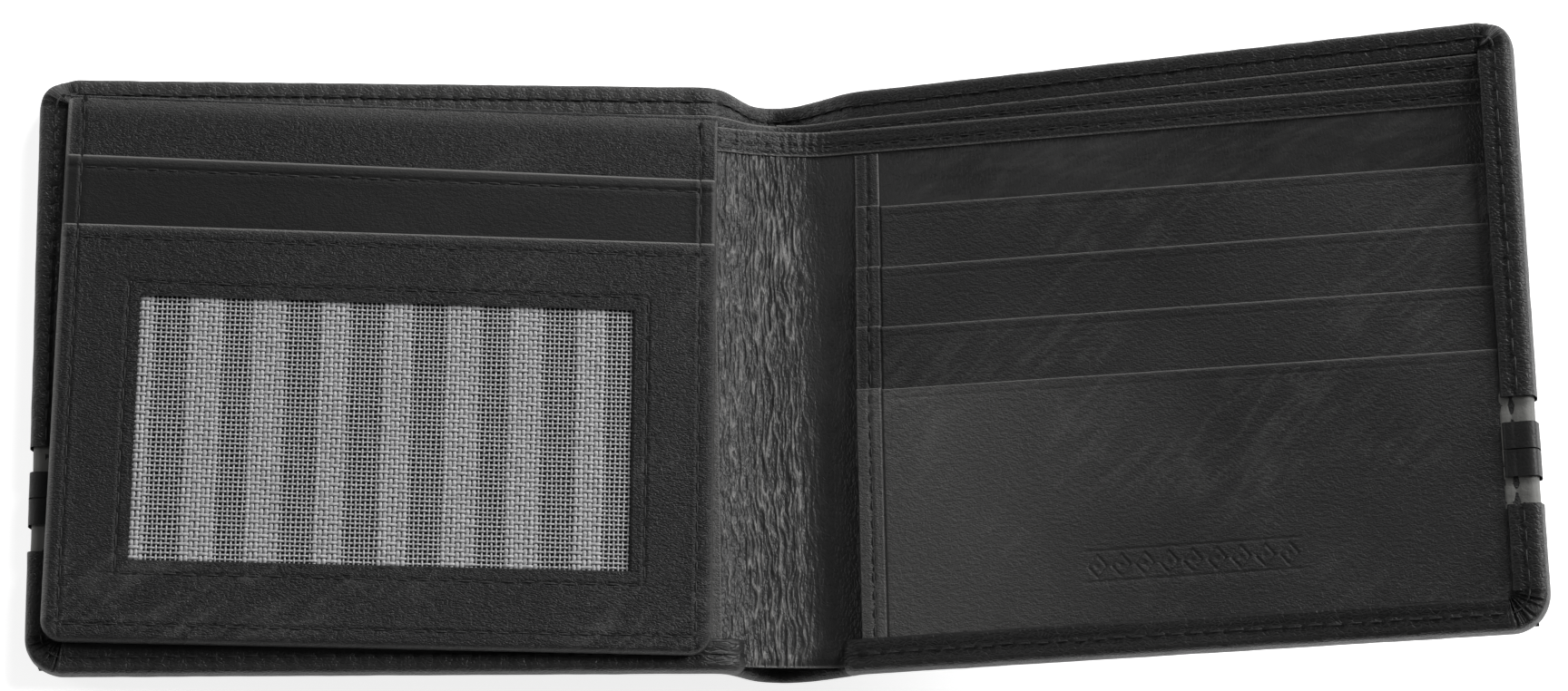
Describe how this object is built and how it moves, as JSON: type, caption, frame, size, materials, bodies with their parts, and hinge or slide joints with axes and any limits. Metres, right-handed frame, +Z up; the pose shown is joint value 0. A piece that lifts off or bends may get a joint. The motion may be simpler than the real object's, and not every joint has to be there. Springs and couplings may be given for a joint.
{
  "type": "trifold wallet",
  "caption": "Open leather wallet with two halves joined by a soft spine, stepped card slots, full-length note compartments and a flip-up flap with a mesh window.",
  "frame": {"origin": "middle of the narrow flat along the underside of the spine, which rests on the table", "axes": "+X to the right along the open wallet, +Y to its top edge where notes go in, +Z up off the table"},
  "size_m": [0.2103, 0.09, 0.0638],
  "materials": {
    "black_leather": "matt black grained leather with a slight sheen on folds",
    "lining_leather": "smooth warm black lining leather",
    "strip_leather": "smooth black inlay strip",
    "grey_leather": "matt grey smooth leather",
    "mesh_fabric": "striped open weave in grey thread",
    "thread": "black sewing thread"
  },
  "bodies": {
    "spine": {"spine_upper_skin": "black_leather", "spine_lower_skin": "black_leather", "spine_grey_underlay": "grey_leather", "spine_inlay_strip_lower": "strip_leather", "spine_inlay_strip_upper": "strip_leather", "spine_note_lining": "lining_leather", "spine_note_divider": "black_leather", "spine_inner_panel": "black_leather", "spine_top_binding": "black_leather"},
    "left_half": {"left_upper_skin": "black_leather", "left_lower_skin": "black_leather", "left_grey_underlay": "grey_leather", "left_inlay_strip_lower": "strip_leather", "left_inlay_strip_upper": "strip_leather", "left_note_lining": "lining_leather", "left_note_divider": "black_leather", "left_inner_panel": "black_leather", "left_slot_leaf_1": "black_leather", "left_slot_leaf_2": "black_leather", "left_slot_leaf_3": "black_leather", "left_top_binding": "black_leather", "left_stitching": "thread", "flap_hinge_strip": "black_leather"},
    "right_half": {"right_upper_skin": "black_leather", "right_lower_skin": "black_leather", "right_grey_underlay": "grey_leather", "right_inlay_strip_lower": "strip_leather", "right_inlay_strip_upper": "strip_leather", "right_note_lining": "lining_leather", "right_note_divider": "black_leather", "right_inner_panel": "black_leather", "right_slot_leaf_1": "black_leather", "right_slot_leaf_2": "black_leather", "right_slot_leaf_3": "black_leather", "right_slot_leaf_4": "black_leather", "right_top_binding": "black_leather", "right_stitching": "thread"},
    "flap": {"flap_back": "lining_leather", "flap_base": "black_leather", "flap_pocket_leaf": "black_leather", "flap_window_mesh": "mesh_fabric", "flap_window_frame": "black_leather", "flap_stitching": "thread"}
  },
  "joints": [
    {"name": "left_crease", "type": "hinge", "parent": "spine", "child": "left_half", "pos_m": [-0.01025, 0, 0.0111], "axis": [0, 1, 0], "range_deg": [-7, 98]},
    {"name": "right_crease", "type": "hinge", "parent": "spine", "child": "right_half", "pos_m": [0.01025, 0, 0.0111], "axis": [0, -1, 0], "range_deg": [-36, 63]},
    {"name": "flap_hinge", "type": "hinge", "parent": "left_half", "child": "flap", "pos_m": [-0.01104, 0.0387, 0.01615], "axis": [-0.9949, 0.0262, -0.0971], "range_deg": [0, 175]}
  ]
}
